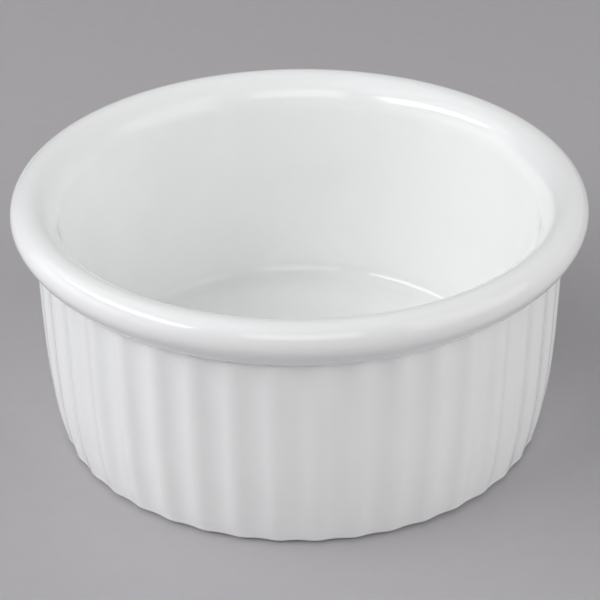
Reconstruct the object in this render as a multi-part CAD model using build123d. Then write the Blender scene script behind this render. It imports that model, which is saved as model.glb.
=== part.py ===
from build123d import *
import os
from math import acos, asin, atan, cos, degrees, radians, sin, sqrt, tan

# A white porcelain ramekin with a rolled rim and an upright reeded wall.
# Lengths are in millimetres and angles in degrees. The foot stands on z = 0, the
# axis of the cup is the Z axis, and the photograph's camera looks along +Y.

# Rim: a bead that stands out past the wall, over a short smooth neck. Its section is a
# wide arc outside, a tighter one over the top and a large one that eases into the well.
# Underneath, a larger arc leads inwards to a small round lip, and a cove joins it to the neck.
rim_diameter = 89.0
overall_height = 40.5
bead_radius = 3.0
bead_set_out = 0.5
bead_top_radius = 2.6
bead_top_angle = 50.0
inner_edge_radius = 6.0
inner_edge_angle = 63.0
bead_low_angle = -25.0
underside_radius = 8.0
lip_angle = -48.0
lip_radius = 0.9
cove_radius = 0.35
neck_height = 0.1

# Outer wall, measured over the reeds: a straight taper with a quick curl at the foot
foot_diameter = 76.2
foot_corner_radius = 1.3
foot_section_angles = (0, 30, 60, 90)
taper_share = 0.29
curl_power = 5.07
wall_section_shares = (0.08, 0.2, 0.45, 0.7)

# Reeds: upright waves with broad crests and narrower valleys, rounded off at the top
reed_count = 42
reed_depth = 0.38
valley_share = 0.46
front_valley_angle = -91.0
reed_end_height = 1.9
reed_end_shares = (0, 0.25, 0.5, 0.75, 1)
reed_end_bluntness = 1.6

# Inside of the cup: the wall is measured over the reeds
wall_thickness_at_floor = 4.6
floor_thickness = 3.4
well_corner_radius = 3.0

# Hollow under the floor, inside the ring that the cup stands on
recess_depth = 1.2
recess_slope_width = 0.8
foot_ring_width = 3.4

# Glass on the clay, and how far above the foot it stops
glaze_thickness = 0.25
outer_glaze_line = 0.35
inner_glaze_line = 0.4

# Reach of a cutting tool past the surface that it opens
overrun = 2.0

# Radii and heights that follow from the sizes above
rim_radius = rim_diameter / 2
foot_radius = foot_diameter / 2
bead_center_radius = rim_radius - bead_radius
top_center_height = overall_height - bead_top_radius
top_step = bead_radius - bead_top_radius
top_center_radius = bead_center_radius + top_step * cos(radians(bead_top_angle))
bead_center_height = top_center_height - top_step * sin(radians(bead_top_angle))
edge_step = inner_edge_radius - bead_top_radius
edge_center_radius = top_center_radius + edge_step * cos(radians(inner_edge_angle))
edge_center_height = top_center_height - edge_step * sin(radians(inner_edge_angle))
bead_center = (bead_center_radius, bead_center_height)
top_center = (top_center_radius, top_center_height)
edge_center = (edge_center_radius, edge_center_height)
wall_top_radius = bead_center_radius - bead_set_out
neck_radius = wall_top_radius - reed_depth
underside_step = underside_radius - bead_radius
underside_center_radius = bead_center_radius - underside_step * cos(radians(bead_low_angle))
underside_center_height = bead_center_height - underside_step * sin(radians(bead_low_angle))
underside_center = (underside_center_radius, underside_center_height)
lip_step = underside_radius - lip_radius
lip_center_radius = underside_center_radius + lip_step * cos(radians(lip_angle))
lip_center_height = underside_center_height + lip_step * sin(radians(lip_angle))
lip_center = (lip_center_radius, lip_center_height)
cove_center_radius = neck_radius + cove_radius
cove_reach = lip_center_radius - cove_center_radius
cove_center_height = lip_center_height - sqrt((lip_radius + cove_radius) ** 2 - cove_reach**2)
cove_center = (cove_center_radius, cove_center_height)
well_floor_height = recess_depth + floor_thickness
ring_inner_radius = foot_radius - foot_corner_radius - foot_ring_width
recess_ceiling_radius = ring_inner_radius - recess_slope_width

neck_bottom = cove_center_height - neck_height
pitch = 360 / reed_count
half_reed_width = wall_top_radius * radians(pitch / 2)
reed_end_start = neck_bottom - reed_end_height
crest_half_width = half_reed_width * (1 - valley_share)
valley_half_width = half_reed_width * valley_share


def crest_radius(height):
    """Radius of the wall over its reeds at a height above the foot plane."""
    rise = min(height / neck_bottom, 1)
    curl = 1 - (1 - rise) ** curl_power
    share = taper_share * rise + (1 - taper_share) * curl
    return foot_radius + (wall_top_radius - foot_radius) * share


def reed_rise(distance):
    """Height of a reed above its valley at a distance from the reed's middle line."""
    if distance < crest_half_width:
        crest_drop = reed_depth * (1 - valley_share)
        return reed_depth - crest_drop * (distance / crest_half_width) ** 2
    left = max(half_reed_width - distance, 0)
    return reed_depth * valley_share * (left / valley_half_width) ** 2


def reeded_wire(height, valley_radius, end_distance=0):
    """Closed wire of crest and valley arcs, at a distance along the reeds' round ends."""
    crest = valley_radius + reed_rise(end_distance)
    knee = valley_radius + reed_rise(sqrt(crest_half_width**2 + end_distance**2))
    knee_angle = pitch / 2 * (1 - valley_share)
    edges = []
    for index in range(reed_count):
        valley_angle = front_valley_angle + index * pitch
        crest_angle = valley_angle + pitch / 2
        first = Vector(knee, 0, height).rotate(Axis.Z, crest_angle - pitch + knee_angle)
        valley = Vector(valley_radius, 0, height).rotate(Axis.Z, valley_angle)
        second = Vector(knee, 0, height).rotate(Axis.Z, crest_angle - knee_angle)
        top = Vector(crest, 0, height).rotate(Axis.Z, crest_angle)
        third = Vector(knee, 0, height).rotate(Axis.Z, crest_angle + knee_angle)
        edges.append(Edge.make_three_point_arc(first, valley, second))
        edges.append(Edge.make_three_point_arc(second, top, third))
    return Wire(edges)


def foot_band(inset):
    """Reeded band that rounds the lower corner of the wall."""
    valley = crest_radius(foot_corner_radius) - reed_depth - inset
    wires = []
    for angle in foot_section_angles:
        height = foot_corner_radius * (1 - cos(radians(angle)))
        drawn_in = foot_corner_radius * (1 - sin(radians(angle)))
        wires.append(reeded_wire(height, valley - drawn_in))
    return Solid.make_loft(wires)


def reeded_wall(inset):
    """Wall from the foot band to where the reeds start to round off."""
    span = reed_end_start - foot_corner_radius
    heights = [foot_corner_radius + span * share for share in wall_section_shares]
    heights = [foot_corner_radius, *heights, reed_end_start]
    wires = [reeded_wire(height, crest_radius(height) - reed_depth - inset) for height in heights]
    return Solid.make_loft(wires)


def reed_ends(inset):
    """Band where every reed rounds off into the smooth neck under the bead."""
    wires = []
    for share in reed_end_shares:
        height = reed_end_start + reed_end_height * share
        valley = crest_radius(height) - reed_depth - inset
        end_distance = half_reed_width * share**reed_end_bluntness
        wires.append(reeded_wire(height, valley, end_distance))
    return Solid.make_loft(wires)


def well_lean():
    """Angle from upright of the well's wall, which runs up to the round inner edge."""
    well_floor_radius = crest_radius(well_floor_height) - wall_thickness_at_floor
    across = edge_center_radius - well_floor_radius
    up = edge_center_height - well_floor_height
    return degrees(atan(across / up) - asin(inner_edge_radius / sqrt(across**2 + up**2)))


def well_wall_radius(height, inset):
    """Radius of the well's leaning wall at a height, with the wall drawn in by inset."""
    touch_radius, touch_height = arc_point(edge_center, inner_edge_radius - inset, 180 - well_lean())
    return touch_radius - (touch_height - height) * tan(radians(well_lean()))


def arc_point(center, radius, angle):
    """Point of the section on an arc, at an angle counted from straight outwards."""
    return center[0] + radius * cos(radians(angle)), center[1] + radius * sin(radians(angle))


def section_arc(center, radius, start, end):
    """Arc of the section from one angle to another."""
    middle = (start + end) / 2
    return ThreePointArc(*[arc_point(center, radius, angle) for angle in (start, middle, end)])


def rim(inset):
    """Turned head of the cup: neck, cove, lip, bead and the round edge into the well."""
    core_radius = neck_radius - inset
    wall_radius = well_wall_radius(neck_bottom, inset)
    lean = well_lean()
    cove_angle = degrees(acos(cove_reach / (lip_radius + cove_radius)))
    edge = section_arc(edge_center, inner_edge_radius - inset, 180 - lean, 180 - inner_edge_angle)
    top = section_arc(top_center, bead_top_radius - inset, 180 - inner_edge_angle, bead_top_angle)
    bead = section_arc(bead_center, bead_radius - inset, bead_top_angle, bead_low_angle)
    underside = section_arc(underside_center, underside_radius - inset, bead_low_angle, lip_angle)
    lip = section_arc(lip_center, lip_radius - inset, lip_angle, cove_angle - 180)
    cove = section_arc(cove_center, cove_radius + inset, cove_angle, 180)
    outline = [
        Line((wall_radius, neck_bottom), edge @ 0),
        edge,
        top,
        bead,
        underside,
        lip,
        cove,
        Line(cove @ 1, (core_radius, neck_bottom)),
        Line((core_radius, neck_bottom), (wall_radius, neck_bottom)),
    ]
    section = make_face(outline)
    return revolve(Plane.XZ * section, Axis.Z)


def well(inset):
    """Space inside the cup, wider and deeper by inset: floor, round corner, leaning wall."""
    floor_height = well_floor_height - inset
    floor_radius = well_wall_radius(floor_height, inset)
    top_height = neck_bottom + overrun
    outline = Polyline(
        (0, floor_height),
        (floor_radius, floor_height),
        (well_wall_radius(top_height, inset), top_height),
        (0, top_height),
        close=True,
    )
    section = make_face(outline)
    corner = section.vertices().sort_by_distance((floor_radius, floor_height))[0]
    section = fillet(corner, well_corner_radius + inset)
    return revolve(Plane.XZ * section, Axis.Z)


def recess(inset):
    """Hollow under the floor, wider and deeper by inset."""
    outline = Polyline(
        (0, -overrun),
        (ring_inner_radius + inset, -overrun),
        (ring_inner_radius + inset, 0),
        (recess_ceiling_radius + inset, recess_depth + inset),
        (0, recess_depth + inset),
        close=True,
    )
    return revolve(Plane.XZ * make_face(outline), Axis.Z)


def foot_slice(height):
    """Slab that clears everything below a height above the foot plane."""
    slab_height = height + overrun
    return Pos(0, 0, height - slab_height / 2) * Cylinder(rim_radius, slab_height)


def cup(inset):
    """Cup with its well but a flat base, every skin drawn in by inset."""
    reeded = foot_band(inset) + reeded_wall(inset) + reed_ends(inset)
    return reeded - well(inset) + rim(inset)


def porcelain_body(clay_cup):
    """Fired clay of the cup, bare on the ring that it stands on."""
    return clay_cup - recess(glaze_thickness)


def glaze_coat(clay_cup):
    """Glass over the outside, the rim and the inside, above the outer glaze line."""
    return cup(0) - foot_slice(outer_glaze_line) - clay_cup


def underside_glaze():
    """Glass in the hollow under the floor, above the inner glaze line."""
    return recess(glaze_thickness) - recess(0) - foot_slice(inner_glaze_line)


clay = cup(glaze_thickness)
sub_parts = {
    "porcelain_body": porcelain_body(clay),
    "glaze_coat": glaze_coat(clay),
    "underside_glaze": underside_glaze(),
}

os.makedirs("parts", exist_ok=True)
for node, sub_part in sub_parts.items():
    export_step(sub_part, f"parts/{node}.step")
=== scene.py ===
"""Dressed model of a white porcelain ramekin with a rolled rim and a reeded wall.

The dish stands on a grey table top in the light of soft boxes. Its three pieces are one
family of turned surfaces: the glaze over the cup, the fired clay under it and the glaze
in the hollow of the foot. One Geometry Nodes tree turns the section of each piece round
the axis and raises the reeds on it. The dish and its finishes are given in millimetres
and degrees, the studio in metres and watts, and every mesh is in metres.
"""

import logging
from dataclasses import dataclass, field
from enum import Enum
from math import asin, atan, atan2, cos, degrees, hypot, pi, radians, sin, sqrt, tan
from typing import Any, NamedTuple

import bpy
from mathutils import Matrix, Vector


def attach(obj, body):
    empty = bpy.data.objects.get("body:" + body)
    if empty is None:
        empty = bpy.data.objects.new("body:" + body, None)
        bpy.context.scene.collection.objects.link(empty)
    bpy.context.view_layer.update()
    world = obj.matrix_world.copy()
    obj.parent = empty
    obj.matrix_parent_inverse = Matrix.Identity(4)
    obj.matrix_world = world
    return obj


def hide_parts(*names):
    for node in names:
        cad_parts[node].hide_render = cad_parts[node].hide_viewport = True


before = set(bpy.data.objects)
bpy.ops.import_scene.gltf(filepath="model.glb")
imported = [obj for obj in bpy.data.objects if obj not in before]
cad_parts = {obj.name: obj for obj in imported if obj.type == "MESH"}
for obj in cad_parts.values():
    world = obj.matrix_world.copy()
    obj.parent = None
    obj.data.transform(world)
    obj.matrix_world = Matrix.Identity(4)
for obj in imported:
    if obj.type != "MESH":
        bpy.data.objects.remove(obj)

LOG = logging.getLogger("ramekin")
MM = 0.001

# Points nearer than this are merged, in millimetres
WELD_DISTANCE = 0.001

# Share of pooled glaze for each radian of hollow bend along a millimetre of the section
POOLING_PER_BEND = 0.6

Colour = tuple[float, float, float, float]


class Node(Enum):
    """CAD nodes that the pieces of this file stand for."""

    CLAY = "porcelain_body"
    GLAZE = "glaze_coat"
    FOOT_GLAZE = "underside_glaze"


class Slot(Enum):
    """Material slots of the record."""

    CLAY = "fired_clay"
    GLAZE = "white_glaze"


class Layer(Enum):
    """Numbers that a turned mesh carries at its points."""

    REEDING = "reeding"
    PAST_END = "past_end"
    POOLING = "pooling"


class Wire:
    """Output socket of a node, with arithmetic that adds Math nodes."""

    def __init__(self, graph: "Graph", socket: bpy.types.NodeSocket) -> None:
        """Keep the socket and the graph that it belongs to."""
        self.graph = graph
        self.socket = socket

    def at(self, name: str) -> "Wire":
        """Return another output of the same node."""
        return Wire(self.graph, self.graph.find(self.socket.node.outputs, name))

    def __add__(self, other: "Wire | float") -> "Wire":
        """Return self + other."""
        return self.graph.math("ADD", self, other)

    def __radd__(self, other: float) -> "Wire":
        """Return other + self."""
        return self.graph.math("ADD", other, self)

    def __sub__(self, other: "Wire | float") -> "Wire":
        """Return self - other."""
        return self.graph.math("SUBTRACT", self, other)

    def __rsub__(self, other: float) -> "Wire":
        """Return other - self."""
        return self.graph.math("SUBTRACT", other, self)

    def __mul__(self, other: "Wire | float") -> "Wire":
        """Return self * other."""
        return self.graph.math("MULTIPLY", self, other)

    def __rmul__(self, other: float) -> "Wire":
        """Return other * self."""
        return self.graph.math("MULTIPLY", other, self)

    def __truediv__(self, other: "Wire | float") -> "Wire":
        """Return self / other."""
        return self.graph.math("DIVIDE", self, other)

    def __pow__(self, other: float) -> "Wire":
        """Return self to the power of other."""
        return self.graph.math("POWER", self, other)


class Graph:
    """Node tree of a material, a world or a Geometry Nodes group."""

    def __init__(self, tree: bpy.types.NodeTree) -> None:
        """Keep the tree that nodes are added to."""
        self.tree = tree

    @staticmethod
    def find(sockets: Any, key: int | str) -> bpy.types.NodeSocket:
        """Find a socket in use by its place or its name.

        Args:
            sockets: inputs or outputs of a node.
            key: place in the list, or name.

        Returns:
            The socket.
        """
        if isinstance(key, int):
            return sockets[key]
        return next(s for s in sockets if s.name == key and s.enabled)

    def node(
        self,
        kind: str,
        settings: dict[str, Any] | None = None,
        inputs: dict[int | str, Any] | None = None,
    ) -> Wire:
        """Add a node.

        Args:
            kind: Blender's name of the node type.
            settings: properties of the node, set first.
            inputs: value or wire for each socket that is set.

        Returns:
            The node's first output in use.
        """
        made = self.tree.nodes.new(kind)
        for name, value in (settings or {}).items():
            setattr(made, name, value)
        for key, value in (inputs or {}).items():
            socket = self.find(made.inputs, key)
            if isinstance(value, Wire):
                self.tree.links.new(value.socket, socket)
            else:
                socket.default_value = value
        return Wire(self, next((s for s in made.outputs if s.enabled), None))

    def math(self, operation: str, *operands: Wire | float) -> Wire:
        """Add a Math node for the operation on one, two or three operands."""
        return self.node("ShaderNodeMath", {"operation": operation}, dict(enumerate(operands)))

    def smooth_step(self, value: Wire, low: float, high: float) -> Wire:
        """Ease a value from 0 at low to 1 at high.

        Args:
            value: what is eased.
            low: value at which the result leaves 0.
            high: value at which it reaches 1.

        Returns:
            The eased value.
        """
        settings = {"interpolation_type": "SMOOTHSTEP"}
        inputs = {"Value": value, "From Min": low, "From Max": high}
        return self.node("ShaderNodeMapRange", settings, inputs)

    def blend(self, share: Wire | float, first: Wire | Colour, second: Wire | Colour) -> Wire:
        """Mix two colours.

        Args:
            share: how much of the second colour shows.
            first: colour at share 0.
            second: colour at share 1.

        Returns:
            The mixed colour.
        """
        inputs = {"Factor": share, "A": first, "B": second}
        return self.node("ShaderNodeMix", {"data_type": "RGBA"}, inputs)

    def noise(self, place: Wire, size: float, detail: float = 2.0) -> Wire:
        """Add noise whose patches are a given size.

        Args:
            place: coordinates in metres.
            size: rough width of a patch, in metres.
            detail: octaves of finer noise.

        Returns:
            Noise from 0 to 1.
        """
        inputs = {"Vector": place, "Scale": 1.0 / size, "Detail": detail}
        return self.node("ShaderNodeTexNoise", None, inputs)


class Row(NamedTuple):
    """Ring of a turned surface, in millimetres.

    Radius is taken in the valleys between reeds. Reeding is the share of the reeds'
    depth that the ring carries, and past_end is how far it lies past the round tops'
    start, in the measure that rounds them.
    """

    radius: float
    height: float
    reeding: float = 0.0
    past_end: float = 0.0


def arc(
    center: tuple[float, float], radius: float, start: float, end: float, steps: int
) -> list[Row]:
    """Divide an arc in the plane of the section into plain rows.

    Args:
        center: radius and height of the arc's centre.
        radius: radius of the arc.
        start: first angle in degrees, counted from straight outwards.
        end: last angle in degrees.
        steps: number of equal steps.

    Returns:
        Rows from the start to the end.
    """
    angles = [radians(start + (end - start) * i / steps) for i in range(steps + 1)]
    return [Row(center[0] + radius * cos(a), center[1] + radius * sin(a)) for a in angles]


def line(start: tuple[float, float], end: tuple[float, float], steps: int) -> list[Row]:
    """Divide a straight run of the section into plain rows.

    Args:
        start: radius and height of its start.
        end: radius and height of its end.
        steps: number of equal steps.

    Returns:
        Rows from the start to the end.
    """
    shares = [i / steps for i in range(steps + 1)]
    return [
        Row(start[0] + (end[0] - start[0]) * s, start[1] + (end[1] - start[1]) * s) for s in shares
    ]


@dataclass(frozen=True)
class Reeds:
    """Upright waves of the wall, shallower at the foot and round at their tops."""

    count: int = 42
    depth: float = 0.5
    valley_share: float = 0.6
    foot_share: float = 0.58
    foot_reach: float = 7.0
    front_valley_angle: float = -91.0
    end_bluntness: float = 2.2
    wall_radius: float = 41.0
    segments: int = 12

    @property
    def pitch(self) -> float:
        """Angle from one valley to the next."""
        return 360.0 / self.count

    @property
    def half_width(self) -> float:
        """Distance from a reed's middle line to its valley, along the wall."""
        return self.wall_radius * radians(self.pitch / 2)

    def past_end(self, share: float) -> float:
        """Distance past a reed's end, from 0 where it starts to round off.

        Args:
            share: how much of the rounded end lies below, from 0 to 1.

        Returns:
            The distance, which reaches half a reed's width at share 1.
        """
        return self.half_width * min(max(share, 0.0), 1.0) ** self.end_bluntness

    def share_at(self, height: float) -> float:
        """Share of the full depth that the reeds have at a height.

        Args:
            height: height above the table.

        Returns:
            The share, which eases to 1 above the foot.
        """
        rise = min(height / self.foot_reach, 1.0)
        return self.foot_share + (1 - self.foot_share) * rise**2 * (3 - 2 * rise)


@dataclass(frozen=True)
class Steps:
    """Full number of steps along each arc and run of the section."""

    cove: int = 4
    least_arc: int = 2
    lip: int = 10
    underside: int = 12
    bead: int = 16
    top: int = 14
    inner_edge: int = 20
    well_wall: int = 8
    least_well_wall: int = 2
    well_corner: int = 12
    floor: int = 5
    recess_corner: int = 8
    recess_side: int = 2


@dataclass(frozen=True)
class CupSection:
    """Section of the cup through its axis, with every skin drawn in by an inset."""

    reeds: Reeds = field(default_factory=Reeds)
    steps: Steps = field(default_factory=Steps)
    rim_diameter: float = 89.0
    height: float = 40.5
    bead_radius: float = 3.0
    bead_top_radius: float = 2.6
    bead_top_angle: float = 50.0
    inner_edge_radius: float = 6.0
    inner_edge_angle: float = 63.0
    bead_low_angle: float = -25.0
    underside_radius: float = 8.0
    lip_angle: float = -48.0
    lip_radius: float = 0.9
    cove_radius: float = 0.35
    foot_diameter: float = 76.2
    foot_corner_radius: float = 1.3
    taper_share: float = 0.29
    curl_power: float = 5.07
    neck_height: float = 0.1
    reed_end_height: float = 1.9
    wall_top_radius: float = 41.0
    floor_height: float = 4.6
    wall_thickness_at_floor: float = 4.6
    well_corner_radius: float = 3.0
    recess_depth: float = 1.2
    recess_slope_width: float = 0.8
    recess_corner_radius: float = 0.7
    ring_width: float = 3.4
    ring_edge_radius: float = 0.35
    crowding_at_foot: float = 1.5

    @property
    def top_center(self) -> tuple[float, float]:
        """Centre of the tighter arc over the top of the bead."""
        step = self.bead_radius - self.bead_top_radius
        radius = self.rim_diameter / 2 - self.bead_radius
        turn = radians(self.bead_top_angle)
        return radius + step * cos(turn), self.height - self.bead_top_radius

    @property
    def bead_center(self) -> tuple[float, float]:
        """Centre of the bead's outer arc."""
        step = self.bead_radius - self.bead_top_radius
        rise = step * sin(radians(self.bead_top_angle))
        return self.rim_diameter / 2 - self.bead_radius, self.top_center[1] - rise

    @property
    def edge_center(self) -> tuple[float, float]:
        """Centre of the large arc that eases the bead into the well."""
        step = self.inner_edge_radius - self.bead_top_radius
        turn = radians(self.inner_edge_angle)
        return self.top_center[0] + step * cos(turn), self.top_center[1] - step * sin(turn)

    @property
    def underside_center(self) -> tuple[float, float]:
        """Centre of the large arc under the bead."""
        step, turn = self.underside_radius - self.bead_radius, radians(self.bead_low_angle)
        return self.bead_center[0] - step * cos(turn), self.bead_center[1] - step * sin(turn)

    @property
    def lip_center(self) -> tuple[float, float]:
        """Centre of the small round lip that ends the underside of the bead."""
        step, turn = self.underside_radius - self.lip_radius, radians(self.lip_angle)
        center = self.underside_center
        return center[0] + step * cos(turn), center[1] + step * sin(turn)

    @property
    def neck_bottom(self) -> float:
        """Height where the reeds have rounded off into the neck."""
        return self.cove_center[1] - self.neck_height

    @property
    def reed_end_start(self) -> float:
        """Height from which the reeds round off."""
        return self.neck_bottom - self.reed_end_height

    @property
    def lean(self) -> float:
        """Angle of the well's wall from upright."""
        floor_radius = self.crest_radius(self.floor_height) - self.wall_thickness_at_floor
        across = self.edge_center[0] - floor_radius
        up = self.edge_center[1] - self.floor_height
        return degrees(atan(across / up) - asin(self.inner_edge_radius / hypot(across, up)))

    def crest_radius(self, height: float) -> float:
        """Radius of the wall over its reeds.

        Args:
            height: height above the table.

        Returns:
            The radius: a straight taper with a quick curl at the foot.
        """
        foot_radius = self.foot_diameter / 2
        rise = min(height / self.neck_bottom, 1.0)
        curl = 1 - (1 - rise) ** self.curl_power
        share = self.taper_share * rise + (1 - self.taper_share) * curl
        return foot_radius + (self.wall_top_radius - foot_radius) * share

    def foot_row(self, height: float, inset: float) -> Row:
        """Row of the rounded foot at a height.

        Args:
            height: height above the table, at most the foot's corner radius.
            inset: how far the skin is drawn in.

        Returns:
            The row.
        """
        corner = self.foot_corner_radius
        across = sqrt(corner**2 - (corner - height) ** 2)
        share = self.reeds.share_at(height)
        valley = self.crest_radius(corner) - self.reeds.depth * share - inset
        return Row(valley - corner + across, height, share)

    def foot(self, start: float, inset: float, steps: int) -> list[Row]:
        """Rows of the rounded foot.

        Args:
            start: height of the first row.
            inset: how far the skin is drawn in.
            steps: number of steps up to the wall.

        Returns:
            Rows upwards, closer together near the table.
        """
        corner = self.foot_corner_radius
        first = degrees(asin(1 - start / corner))
        angles = [radians(first * (1 - i / steps)) for i in range(steps + 1)]
        return [self.foot_row(corner * (1 - sin(a)), inset) for a in angles]

    def wall(self, inset: float, steps: int, end_steps: int) -> list[Row]:
        """Rows of the reeded wall, from the foot to the cove under the bead.

        Args:
            inset: how far the skin is drawn in.
            steps: number of steps where the reeds are whole.
            end_steps: number of steps where they round off.

        Returns:
            Rows upwards, closer together near the foot.
        """
        corner = self.foot_corner_radius
        span = self.reed_end_start - corner
        top = self.cove_center[1]
        crowding = self.crowding_at_foot
        heights = [corner + span * (i / steps) ** crowding for i in range(1, steps + 1)]
        heights += [
            self.reed_end_start + (top - self.reed_end_start) * i / end_steps
            for i in range(1, end_steps + 1)
        ]
        return [self._wall_row(height, inset) for height in heights]

    def _wall_row(self, height: float, inset: float) -> Row:
        """Row of the reeded wall at a height, with the skin drawn in by inset."""
        share = self.reeds.share_at(height)
        radius = self.crest_radius(height) - self.reeds.depth * share - inset
        past_end = self.reeds.past_end((height - self.reed_end_start) / self.reed_end_height)
        return Row(radius, height, share, past_end)

    @property
    def cove_center(self) -> tuple[float, float]:
        """Centre of the small cove between the wall and the bead's lip."""
        radius = self.wall_top_radius - self.reeds.depth + self.cove_radius
        across = self.lip_center[0] - radius
        up = sqrt((self.lip_radius + self.cove_radius) ** 2 - across**2)
        return radius, self.lip_center[1] - up

    def rim(self, inset: float, fineness: float) -> list[Row]:
        """Rows of the cove, the bead and the round edge down into the well.

        Args:
            inset: how far the skin is drawn in.
            fineness: share of the full number of rows.

        Returns:
            Rows from the outer wall over the bead to the wall of the well.
        """
        steps = self.steps
        cove, lip, bead = self.cove_center, self.lip_center, self.bead_center
        touch = degrees(atan2(lip[1] - cove[1], lip[0] - cove[0]))
        low, change, ease = self.bead_low_angle, self.bead_top_angle, 180 - self.inner_edge_angle
        arcs = [
            (cove, self.cove_radius + inset, 180, touch, steps.cove),
            (lip, self.lip_radius - inset, touch - 180, self.lip_angle, steps.lip),
            (self.underside_center, self.underside_radius - inset, self.lip_angle, low, steps.underside),
            (bead, self.bead_radius - inset, low, change, steps.bead),
            (self.top_center, self.bead_top_radius - inset, change, ease, steps.top),
            (
                self.edge_center,
                self.inner_edge_radius - inset,
                ease,
                180 - self.lean,
                steps.inner_edge,
            ),
        ]
        rows = []
        for center, radius, start, end, full in arcs:
            count = max(round(full * fineness), steps.least_arc)
            rows += arc(center, radius, start, end, count)[1:]
        return rows

    def well(self, inset: float, fineness: float) -> list[Row]:
        """Rows of the inside, from the round edge of the rim to the middle of the floor.

        Args:
            inset: how far the skin is drawn in.
            fineness: share of the full number of rows.

        Returns:
            Rows down the wall, round the corner and across the floor.
        """
        corner = self.well_corner_radius + inset
        steps = self.steps
        corner_steps = round(steps.well_corner * fineness)
        wall_steps = max(round(steps.well_wall * fineness), steps.least_well_wall)
        corner_rows = arc(self.well_corner_center, corner, -self.lean, -90, corner_steps)
        touch = arc(self.edge_center, self.inner_edge_radius - inset, 180 - self.lean, 180, 1)[0]
        wall_rows = line(touch[:2], corner_rows[0][:2], wall_steps)
        floor_rows = line(corner_rows[-1][:2], (0.0, self.floor_height - inset), steps.floor)
        return wall_rows[1:] + corner_rows[1:] + floor_rows[1:]

    @property
    def well_corner_center(self) -> tuple[float, float]:
        """Centre of the round corner between the well's wall and its floor."""
        lean = radians(self.lean)
        up = self.floor_height + self.well_corner_radius
        touch = arc(self.edge_center, self.inner_edge_radius, 180 - self.lean, 180, 1)[0]
        wall_radius = touch.radius - (touch.height - up) * tan(lean)
        return wall_radius - self.well_corner_radius / cos(lean), up

    @property
    def ring_inner_radius(self) -> float:
        """Radius of the inner edge of the ring that the cup stands on."""
        return self.foot_diameter / 2 - self.foot_corner_radius - self.ring_width

    @property
    def recess_normal(self) -> tuple[float, float]:
        """Direction from the hollow under the floor into its sloping side."""
        long = hypot(self.recess_depth, self.recess_slope_width)
        return self.recess_depth / long, self.recess_slope_width / long

    def recess_side(self, height: float, inset: float) -> tuple[float, float]:
        """Point on the sloping side of the hollow under the floor.

        Args:
            height: height above the table.
            inset: how far the skin is drawn in.

        Returns:
            Radius and height.
        """
        normal = self.recess_normal
        radius = self.ring_inner_radius + (inset - normal[1] * height) / normal[0]
        return radius, height

    def recess(self, inset: float, end: float, fineness: float) -> list[Row]:
        """Rows of the hollow under the floor, from its middle to its sloping side.

        Args:
            inset: how far the skin is drawn in.
            end: height of the last row.
            fineness: share of the full number of rows.

        Returns:
            Rows outwards over the ceiling and down the side.
        """
        normal, corner = self.recess_normal, self.recess_corner_radius
        up = self.recess_depth - corner
        side = self.recess_side(up, 0.0)[0] - corner / normal[0]
        tilt = degrees(atan2(normal[1], normal[0]))
        steps = self.steps
        corner_steps = round(steps.recess_corner * fineness)
        corner_rows = arc((side, up), corner + inset, 90, tilt, corner_steps)
        ceiling_rows = line((0.0, self.recess_depth + inset), corner_rows[0][:2], steps.floor)
        side_rows = line(corner_rows[-1][:2], self.recess_side(end, inset), steps.recess_side)
        return ceiling_rows + corner_rows[1:] + side_rows[1:]


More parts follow.
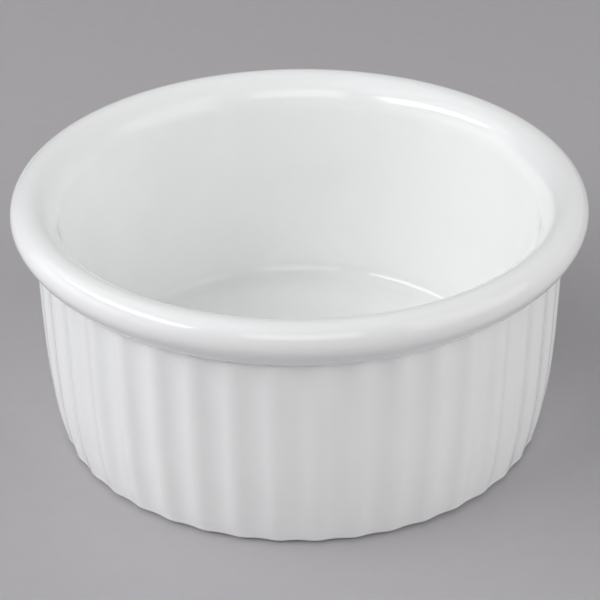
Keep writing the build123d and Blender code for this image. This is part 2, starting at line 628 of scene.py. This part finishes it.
class Turning:
    """Geometry Nodes tree that turns a section round the axis and raises the reeds."""

    def __init__(self, reeds: Reeds) -> None:
        """Build the tree for a set of reeds.

        Args:
            reeds: number, size and place of the reeds.
        """
        self.reeds = reeds
        self.tree = bpy.data.node_groups.new("reeded_turning", "GeometryNodeTree")
        self.graph = Graph(self.tree)
        self._add_sockets()
        self._add_nodes()

    def _add_sockets(self) -> None:
        """Name the inputs and the output of the tree."""
        reeds = self.reeds
        sizes = {
            "Reeds": float(reeds.count),
            "Reed depth": reeds.depth * MM,
            "Valley share": reeds.valley_share,
            "Half reed width": reeds.half_width * MM,
            "First valley angle": radians(reeds.front_valley_angle),
        }
        add = self.tree.interface.new_socket
        add("Section", in_out="INPUT", socket_type="NodeSocketGeometry")
        add("Columns", in_out="INPUT", socket_type="NodeSocketInt")
        add("Rows", in_out="INPUT", socket_type="NodeSocketInt")
        for name, value in sizes.items():
            socket = add(name, in_out="INPUT", socket_type="NodeSocketFloat")
            socket.default_value = value
        add("Finish", in_out="INPUT", socket_type="NodeSocketMaterial")
        add("Piece", in_out="OUTPUT", socket_type="NodeSocketGeometry")

    def _sampled(self, section: Wire, index: Wire, value: Wire, kind: str) -> Wire:
        """Read a value of the section's points at an index.

        Args:
            section: geometry of the section.
            index: which point to read, one for each row.
            value: position or attribute that is read.
            kind: data type of the value.

        Returns:
            The value of that point.
        """
        settings = {"data_type": kind, "domain": "POINT"}
        inputs = {"Geometry": section, "Value": value, "Index": index}
        return self.graph.node("GeometryNodeSampleIndex", settings, inputs)

    def _layer(self, layer: Layer) -> Wire:
        """Read a layer of numbers from the section's points."""
        settings = {"data_type": "FLOAT"}
        return self.graph.node("GeometryNodeInputNamedAttribute", settings, {"Name": layer.value})

    def _rise(self, given: Wire, share_round: Wire, past_end: Wire) -> Wire:
        """Height of the reeds above their valleys.

        Args:
            given: the tree's inputs.
            share_round: share of the way round the axis, from the first valley.
            past_end: distance past the line where the reeds start to round off.

        Returns:
            The height in metres.
        """
        g = self.graph
        depth, half = given.at("Reed depth"), given.at("Half reed width")
        share = given.at("Valley share")
        place = g.math("FRACT", share_round * given.at("Reeds"))
        across = g.math("ABSOLUTE", place - 0.5) * 2.0 * half
        away = g.math("SQRT", across * across + past_end * past_end)
        crest_half = half * (1 - share)
        crest = depth - depth * (1 - share) * (away / crest_half) ** 2.0
        left = g.math("MAXIMUM", half - away, 0.0) / (half * share)
        valley = depth * share * left**2.0
        inputs = {"Switch": g.math("LESS_THAN", away, crest_half), "False": valley, "True": crest}
        return g.node("GeometryNodeSwitch", {"input_type": "FLOAT"}, inputs)

    def _add_nodes(self) -> None:
        """Lay out a grid, bend it round the axis, raise the reeds and close it."""
        g = self.graph
        given = g.node("NodeGroupInput")
        section, rows, columns = given.at("Section"), given.at("Rows"), given.at("Columns")
        grid = g.node("GeometryNodeMeshGrid", None, {"Vertices X": columns, "Vertices Y": rows})
        place = g.node("ShaderNodeSeparateXYZ", None, {0: g.node("GeometryNodeInputPosition")})
        share_round = place.at("X") + 0.5
        turn = share_round * (2 * pi) + given.at("First valley angle")
        index = g.math("ROUND", (place.at("Y") + 0.5) * (rows - 1.0))
        point = self._sampled(section, index, g.node("GeometryNodeInputPosition"), "FLOAT_VECTOR")
        reeding = self._sampled(section, index, self._layer(Layer.REEDING), "FLOAT")
        past_end = self._sampled(section, index, self._layer(Layer.PAST_END), "FLOAT")
        pooling = self._sampled(section, index, self._layer(Layer.POOLING), "FLOAT")
        flat = g.node("ShaderNodeSeparateXYZ", None, {0: point})
        rise = self._rise(given, share_round, past_end) * reeding
        radius = flat.at("X") + rise
        bent = {
            "X": radius * g.math("COSINE", turn),
            "Y": radius * g.math("SINE", turn),
            "Z": flat.at("Z"),
        }
        piece = self._stored(grid, Layer.POOLING, pooling)
        piece = g.node(
            "GeometryNodeSetPosition",
            None,
            {"Geometry": piece, "Position": g.node("ShaderNodeCombineXYZ", None, bent)},
        )
        piece = g.node(
            "GeometryNodeMergeByDistance", None, {"Geometry": piece, "Distance": WELD_DISTANCE * MM}
        )
        faces = g.node("GeometryNodeInputMeshEdgeNeighbors")
        piece = g.node(
            "GeometryNodeDeleteGeometry",
            {"domain": "EDGE", "mode": "EDGE_FACE"},
            {"Geometry": piece, "Selection": g.math("LESS_THAN", faces, 0.5)},
        )
        piece = g.node("GeometryNodeSetShadeSmooth", None, {"Geometry": piece})
        piece = g.node("GeometryNodeRealizeInstances", None, {"Geometry": piece})
        finish = {"Geometry": piece, "Material": given.at("Finish")}
        piece = g.node("GeometryNodeSetMaterial", None, finish)
        g.node("NodeGroupOutput", None, {"Piece": piece})

    def _stored(self, piece: Wire, layer: Layer, value: Wire) -> Wire:
        """Store a layer of numbers on the piece.

        Args:
            piece: geometry that takes the layer.
            layer: which layer it is.
            value: its numbers.

        Returns:
            The geometry with the layer.
        """
        settings = {"data_type": "FLOAT", "domain": "POINT"}
        inputs = {"Geometry": piece, "Name": layer.value, "Value": value}
        return self.graph.node("GeometryNodeStoreNamedAttribute", settings, inputs)

    def turn(self, name: str, rows: list[Row], finish: bpy.types.Material) -> bpy.types.Object:
        """Turn a section into a plain mesh.

        Args:
            name: name of the piece.
            rows: section with its outside on the left as it goes upwards.
            finish: material of the piece.

        Returns:
            The piece, with its place in its mesh.
        """
        rows = [row for row, last in zip(rows, [None, *rows]) if row != last]
        maker = bpy.data.objects.new(name + "_maker", self._section_mesh(name, rows))
        bpy.context.scene.collection.objects.link(maker)
        modifier = maker.modifiers.new("turning", "NODES")
        modifier.node_group = self.tree
        values = {
            "Columns": self.reeds.count * self.reeds.segments + 1,
            "Rows": len(rows),
            "Finish": finish,
        }
        for item in self.tree.interface.items_tree:
            if item.name in values:
                modifier[item.identifier] = values[item.name]
        maker.update_tag()
        bpy.context.view_layer.update()
        ready = maker.evaluated_get(bpy.context.evaluated_depsgraph_get())
        mesh = bpy.data.meshes.new_from_object(ready)
        mesh.name = name
        maker.modifiers.remove(modifier)
        bpy.data.objects.remove(maker)
        piece = bpy.data.objects.new(name, mesh)
        bpy.context.scene.collection.objects.link(piece)
        return piece

    @staticmethod
    def _section_mesh(name: str, rows: list[Row]) -> bpy.types.Mesh:
        """Make the mesh whose points are a section.

        Args:
            name: name of the piece.
            rows: the section.

        Returns:
            A chain of edges with the rows' numbers at its points.
        """
        mesh = bpy.data.meshes.new(name + "_section")
        points = [(row.radius * MM, 0.0, row.height * MM) for row in rows]
        mesh.from_pydata(points, [(i, i + 1) for i in range(len(rows) - 1)], [])
        layers = {
            Layer.REEDING: [row.reeding for row in rows],
            Layer.PAST_END: [row.past_end * MM for row in rows],
            Layer.POOLING: Turning._pooling(rows),
        }
        for layer, numbers in layers.items():
            mesh.attributes.new(layer.value, "FLOAT", "POINT").data.foreach_set("value", numbers)
        return mesh

    @staticmethod
    def _pooling(rows: list[Row]) -> list[float]:
        """Find where glaze gathers: 1 in hollow bends of the section, 0 elsewhere.

        Args:
            rows: the section.

        Returns:
            One number for each row.
        """
        found = [0.0]
        for before, row, after in zip(rows, rows[1:], rows[2:]):
            first = (row.radius - before.radius, row.height - before.height)
            second = (after.radius - row.radius, after.height - row.height)
            turn = first[0] * second[1] - first[1] * second[0]
            length = max(hypot(*first) * hypot(*second), 1e-9)
            reach = max((hypot(*first) + hypot(*second)) / 2, 1e-6)
            bend = asin(max(min(turn / length, 1.0), -1.0)) / reach
            found.append(min(max(-bend * POOLING_PER_BEND, 0.0), 1.0))
        return found + [0.0]


@dataclass(frozen=True)
class GlazedPorcelain:
    """Clear gloss over white porcelain, a little cooler where the glass is thick, with painted shade
    greying the top of the rim.
    """

    name: str = "white_glaze"
    white: Colour = (0.928, 0.934, 0.932, 1.0)
    thick: Colour = (0.76, 0.79, 0.81, 1.0)
    cloudy: Colour = (0.912, 0.918, 0.917, 1.0)
    # Painted shade: a greyer colour over the top of the rim tones down how brightly it is lit. The next
    # two numbers give the height where it starts and how far it blends in.
    painted_rim_shade: Colour = (0.905, 0.907, 0.91, 1.0)
    cloud_size: float = 14.0
    rim_shade_height: float = 36.0
    rim_shade_blend: float = 2.5
    pooling_strength: float = 0.8
    gloss: float = 0.055
    dull_size: float = 9.0
    dull_roughness: float = 0.03
    wave_size: float = 11.0
    wave_height: float = 0.02
    ripple_size: float = 1.4
    ripple_height: float = 0.002
    refraction: float = 1.46

    def material(self) -> bpy.types.Material:
        """Build the node material.

        Returns:
            The material.
        """
        made = bpy.data.materials.new(self.name)
        made.use_nodes = True
        made.node_tree.nodes.clear()
        g = Graph(made.node_tree)
        place = g.node("ShaderNodeTexCoord").at("Object")
        shader = {
            "Base Color": self._colour(g, place),
            "Roughness": self._roughness(g, place),
            "Normal": self._normal(g, place),
            "IOR": self.refraction,
        }
        surface = g.node("ShaderNodeBsdfPrincipled", None, shader)
        g.node("ShaderNodeOutputMaterial", None, {"Surface": surface})
        return made

    def _colour(self, g: Graph, place: Wire) -> Wire:
        """Colour of the porcelain as it shows through the glass, with painted shade on the top of the
        rim.
        """
        clouds = g.noise(place, self.cloud_size * MM, 3.0)
        base = g.blend(g.smooth_step(clouds, 0.4, 0.65), self.white, self.cloudy)
        pooling = g.node("ShaderNodeAttribute", {"attribute_name": Layer.POOLING.value}).at("Fac")
        thick = g.smooth_step(pooling, 0.05, 1.0) * self.pooling_strength
        height = g.node("ShaderNodeSeparateXYZ", None, {0: place}).at("Z")
        # Painted shade: above this height the rim takes the greyer colour, which darkens its lit top.
        bead, blend = self.rim_shade_height * MM, self.rim_shade_blend * MM
        base = g.blend(g.smooth_step(height, bead, bead + blend), base, self.painted_rim_shade)
        return g.blend(thick, base, self.thick)

    def _roughness(self, g: Graph, place: Wire) -> Wire:
        """Roughness of the glass, with faint duller clouds."""
        clouds = g.noise(place, self.dull_size * MM, 4.0)
        return self.gloss + self.dull_roughness * g.smooth_step(clouds, 0.45, 0.75)

    def _normal(self, g: Graph, place: Wire) -> Wire:
        """Slow waves and a fine ripple of the glass."""
        waves = g.noise(place, self.wave_size * MM, 1.0) * self.wave_height
        ripple = g.noise(place, self.ripple_size * MM, 1.0) * self.ripple_height
        height = {"Height": (waves + ripple) * MM, "Strength": 1.0, "Distance": 1.0}
        return g.node("ShaderNodeBump", None, height)


@dataclass(frozen=True)
class BareClay:
    """Fired porcelain without glaze: matte, warm and finely grained."""

    name: str = "fired_clay"
    pale: Colour = (0.74, 0.715, 0.67, 1.0)
    worn: Colour = (0.56, 0.53, 0.49, 1.0)
    roughness: float = 0.78
    grain_size: float = 0.25
    grain_height: float = 0.012
    grain_share: float = 0.2
    scuff_size: float = 2.2
    scuff_share: float = 0.6
    scuff_polish: float = 0.12

    def material(self) -> bpy.types.Material:
        """Build the node material.

        Returns:
            The material.
        """
        made = bpy.data.materials.new(self.name)
        made.use_nodes = True
        made.node_tree.nodes.clear()
        g = Graph(made.node_tree)
        place = g.node("ShaderNodeTexCoord").at("Object")
        grain = g.noise(place, self.grain_size * MM, 3.0)
        scuffs = g.smooth_step(g.noise(place, self.scuff_size * MM, 4.0), 0.55, 0.72)
        wear = scuffs * self.scuff_share + grain * self.grain_share
        height = {"Height": grain * (self.grain_height * MM), "Strength": 1.0, "Distance": 1.0}
        shader = {
            "Base Color": g.blend(wear, self.pale, self.worn),
            "Roughness": self.roughness - self.scuff_polish * scuffs,
            "Normal": g.node("ShaderNodeBump", None, height),
        }
        surface = g.node("ShaderNodeBsdfPrincipled", None, shader)
        g.node("ShaderNodeOutputMaterial", None, {"Surface": surface})
        return made


@dataclass(frozen=True)
class TablePaint:
    """Grey table top with a fine tooth."""

    name: str = "table_paint"
    pale: Colour = (0.465, 0.449, 0.468, 1.0)
    dark: Colour = (0.435, 0.42, 0.438, 1.0)
    roughness: float = 0.6
    mottle_size: float = 3.0
    tooth_size: float = 0.6
    tooth_height: float = 0.02

    def material(self) -> bpy.types.Material:
        """Build the node material.

        Returns:
            The material.
        """
        made = bpy.data.materials.new(self.name)
        made.use_nodes = True
        made.node_tree.nodes.clear()
        g = Graph(made.node_tree)
        place = g.node("ShaderNodeTexCoord").at("Object")
        mottle = g.noise(place, self.mottle_size * MM, 4.0)
        tooth = g.noise(place, self.tooth_size * MM, 2.0) * (self.tooth_height * MM)
        shader = {
            "Base Color": g.blend(mottle, self.pale, self.dark),
            "Roughness": self.roughness,
            "Normal": g.node("ShaderNodeBump", None, {"Height": tooth, "Distance": 1.0}),
        }
        surface = g.node("ShaderNodeBsdfPrincipled", None, shader)
        g.node("ShaderNodeOutputMaterial", None, {"Surface": surface})
        return made


@dataclass
class Ramekin:
    """The dish: glaze over the cup, fired clay and glaze in the hollow of the foot."""

    section: CupSection = field(default_factory=CupSection)
    glaze_thickness: float = 0.25
    outer_glaze_line: float = 0.35
    inner_glaze_line: float = 0.4
    lip_height: float = 0.2
    lip_steps: int = 4
    ring_middle_radius: float = 35.0

    def build(self) -> list[bpy.types.Object]:
        """Build the three pieces.

        Returns:
            The pieces, outermost first.
        """
        turning = Turning(self.section.reeds)
        glaze = GlazedPorcelain().material()
        clay = BareClay().material()
        made = [
            (turning.turn("glaze_over_cup", self._glaze_rows(), glaze), Node.GLAZE, Slot.GLAZE),
            (turning.turn("fired_cup", self._clay_rows(), clay), Node.CLAY, Slot.CLAY),
            (
                turning.turn("glaze_under_floor", self._foot_glaze_rows(), glaze),
                Node.FOOT_GLAZE,
                Slot.GLAZE,
            ),
        ]
        for piece, node, slot in made:
            self._place(piece, node, slot)
        return [piece for piece, _, _ in made]

    @staticmethod
    def _place(piece: bpy.types.Object, node: Node, slot: Slot) -> None:
        """Let a piece ride in place of its CAD node.

        Args:
            piece: finished piece.
            node: node that it stands for.
            slot: material slot of the record; not used.
        """
        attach(piece, "root")
        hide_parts(node.value)
        LOG.info("%s: %d faces, for %s", piece.name, len(piece.data.polygons), node.value)

    def _glaze_rows(self) -> list[Row]:
        """Section of the glaze over the cup: its face, then back along the clay."""
        s, skin = self.section, self.glaze_thickness
        face = s.foot(self.outer_glaze_line + self.lip_height, 0.0, 5)[1:]
        face += s.wall(0.0, 20, 14) + s.rim(0.0, 1.0) + s.well(0.0, 1.0)
        back = s.foot(self.outer_glaze_line, skin, 2)
        back += s.wall(skin, 6, 5) + s.rim(skin, 0.3) + s.well(skin, 0.3)
        return self._outer_lip() + face + back[::-1]

    def _outer_lip(self) -> list[Row]:
        """Rounded edge where the glaze stops above the foot."""
        rows = []
        for i in range(self.lip_steps + 1):
            turn = pi / 2 * (1 - i / self.lip_steps)
            height = self.outer_glaze_line + self.lip_height * (1 - sin(turn))
            rows.append(self.section.foot_row(height, self.glaze_thickness * (1 - cos(turn))))
        return rows

    def _clay_rows(self) -> list[Row]:
        """Section of the fired clay: hollow, ring, wall, rim and well."""
        s, skin = self.section, self.glaze_thickness
        edge = s.ring_edge_radius
        normal = s.recess_normal
        tilt = degrees(atan2(normal[1], normal[0]))
        center = (s.recess_side(edge, skin)[0] + edge / normal[0], edge)
        edge_rows = arc(center, edge, 180 + tilt, 270, 5)
        hollow = s.recess(skin, edge_rows[0].height, 1.0)
        foot = s.foot(0.0, skin, 8)
        ring = [Row(self.ring_middle_radius, 0.0)]
        up = foot + s.wall(skin, 10, 8) + s.rim(skin, 0.5) + s.well(skin, 0.5)
        return hollow + edge_rows[1:] + ring + up

    def _foot_glaze_rows(self) -> list[Row]:
        """Section of the glaze in the hollow under the floor."""
        s, skin = self.section, self.glaze_thickness
        face = s.recess(0.0, self.inner_glaze_line + self.lip_height, 1.0)
        lip = []
        for i in range(1, self.lip_steps + 1):
            turn = pi / 2 * i / self.lip_steps
            height = self.inner_glaze_line + self.lip_height * (1 - sin(turn))
            lip.append(Row(*s.recess_side(height, skin * (1 - cos(turn)))))
        back = s.recess(skin, self.inner_glaze_line, 1.0)
        return face + lip + back[::-1]


@dataclass(frozen=True)
class TableTop:
    """Wide table top that the dish stands on."""

    half_width: float = 4.0
    paint: TablePaint = field(default_factory=TablePaint)

    def build(self) -> bpy.types.Object:
        """Build the table top.

        Returns:
            The stage object.
        """
        reach = self.half_width
        mesh = bpy.data.meshes.new("table_top")
        corners = [(-reach, -reach, 0), (reach, -reach, 0), (reach, reach, 0), (-reach, reach, 0)]
        mesh.from_pydata(corners, [], [(0, 1, 2, 3)])
        mesh.materials.append(self.paint.material())
        top = bpy.data.objects.new("table_top", mesh)
        bpy.context.scene.collection.objects.link(top)
        return top


@dataclass(frozen=True)
class SoftBox:
    """Large flat soft lamp, placed by three of its corners in metres."""

    name: str
    low_front: tuple[float, float, float]
    low_back: tuple[float, float, float]
    high_front: tuple[float, float, float]
    power: float
    tint: tuple[float, float, float] = (1.0, 1.0, 1.0)

    def build(self) -> bpy.types.Object:
        """Build the lamp, with its lit face towards the dish.

        Returns:
            The lamp object.
        """
        corner = Vector(self.low_front)
        along, up = Vector(self.low_back) - corner, Vector(self.high_front) - corner
        middle = corner + (along + up) / 2
        away = along.cross(up).normalized()
        if away.dot(middle) < 0:
            away = -away
        across = along.normalized()
        turn = Matrix((across, away.cross(across), away)).transposed()
        lamp = bpy.data.lights.new(self.name, "AREA")
        lamp.shape = "RECTANGLE"
        lamp.size = along.length
        lamp.size_y = up.length
        lamp.energy = self.power
        lamp.color = self.tint
        made = bpy.data.objects.new(self.name, lamp)
        made.matrix_world = Matrix.Translation(middle) @ turn.to_4x4()
        bpy.context.scene.collection.objects.link(made)
        return made


@dataclass(frozen=True)
class Studio:
    """Table top, lamps, soft room light and the camera of the photograph."""

    boxes: tuple[SoftBox, ...] = (
        SoftBox(
            "soft_box_left",
            (-0.35, -0.35, 0.277),
            (-1.03, 0.23, 0.547),
            (-0.27, -0.31, 0.393),
            2.04,
            (0.98, 0.992, 1.0),
        ),
        SoftBox(
            "soft_box_wide",
            (-0.9, -0.9, 0.0),
            (-0.9, 0.5, 0.0),
            (-0.7, -0.9, 0.9),
            3.42,
            (0.98, 0.992, 1.0),
        ),
        SoftBox(
            "soft_box_upper",
            (-0.95, -0.7, 0.55),
            (-0.95, 0.6, 0.55),
            (-0.55, -0.7, 1.2),
            1.92,
        ),
        SoftBox(
            "soft_box_right",
            (0.44, -0.55, 0.04),
            (1.21, -0.12, 0.04),
            (0.28, -0.27, 0.51),
            2.19,
        ),
        SoftBox(
            "soft_box_front",
            (-0.4, -1.0, 0.5),
            (0.4, -1.0, 0.5),
            (-0.4, -0.8, 1.0),
            3.11,
        ),
        SoftBox(
            "soft_box_high",
            (-0.45, -0.5, 0.75),
            (-0.45, 0.5, 0.75),
            (-0.15, -0.5, 1.1),
            1.04,
        ),
        SoftBox(
            "soft_box_low",
            (-1.0, -0.4, 0.02),
            (-1.0, 0.4, 0.02),
            (-1.0, -0.4, 0.4),
            0.8,
        ),
    )
    room_light: Colour = (0.83, 0.83, 0.83, 1.0)
    room_side: tuple[float, float, float] = (0.925, 0.38, 0.0)
    far_wall: Colour = (0.37, 0.355, 0.375, 1.0)
    lens: float = 132.0
    sensor_width: float = 36.0
    nearest: float = 0.01
    aim: Vector = field(default_factory=lambda: Vector((0.0, 0.0, 0.01957)))
    away: float = 0.3494
    climb: float = 30.33
    roll: float = -0.0079

    def build(self) -> None:
        """Build the table top, the lamps, the room light and the camera."""
        TableTop().build()
        for box in self.boxes:
            box.build()
        self._room()
        self._camera()
        view = bpy.context.scene.view_settings
        view.view_transform = "Standard"

    def _room(self) -> None:
        """Light the room softly from one side, with a grey wall for the camera."""
        world = bpy.data.worlds.new("room")
        world.use_nodes = True
        world.node_tree.nodes.clear()
        g = Graph(world.node_tree)
        seen = g.node("ShaderNodeLightPath").at("Is Camera Ray")
        place = g.node("ShaderNodeTexCoord").at("Generated")
        settings = {"operation": "DOT_PRODUCT"}
        side = g.node("ShaderNodeVectorMath", settings, {0: place, 1: self.room_side}).at("Value")
        black = (0.0, 0.0, 0.0, 1.0)
        room = g.blend(g.math("MAXIMUM", side, 0.0), black, self.room_light)
        light = g.node("ShaderNodeBackground", None, {"Color": g.blend(seen, room, self.far_wall)})
        g.node("ShaderNodeOutputWorld", None, {"Surface": light})
        bpy.context.scene.world = world

    def _camera(self) -> None:
        """Set the camera at the photograph's viewing angle."""
        lens = bpy.data.cameras.new("camera")
        lens.lens = self.lens
        lens.sensor_width = self.sensor_width
        lens.clip_start = self.nearest
        camera = bpy.data.objects.new("camera", lens)
        rise = radians(self.climb)
        back = Vector((0.0, -cos(rise), sin(rise)))
        right = Vector((1.0, 0.0, 0.0))
        up = back.cross(right)
        across = right * cos(self.roll) + up * sin(self.roll)
        upwards = up * cos(self.roll) - right * sin(self.roll)
        turn = Matrix((across, upwards, back)).transposed()
        camera.matrix_world = Matrix.Translation(self.aim + back * self.away) @ turn.to_4x4()
        bpy.context.scene.collection.objects.link(camera)
        bpy.context.scene.camera = camera


def main() -> None:
    """Build the dish and the studio, and report each piece."""
    logging.basicConfig(level=logging.INFO, format="%(name)s: %(message)s")
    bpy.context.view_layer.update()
    pieces = Ramekin().build()
    Studio().build()
    LOG.info("%d pieces dressed", len(pieces))


if __name__ == "__main__":
    main()
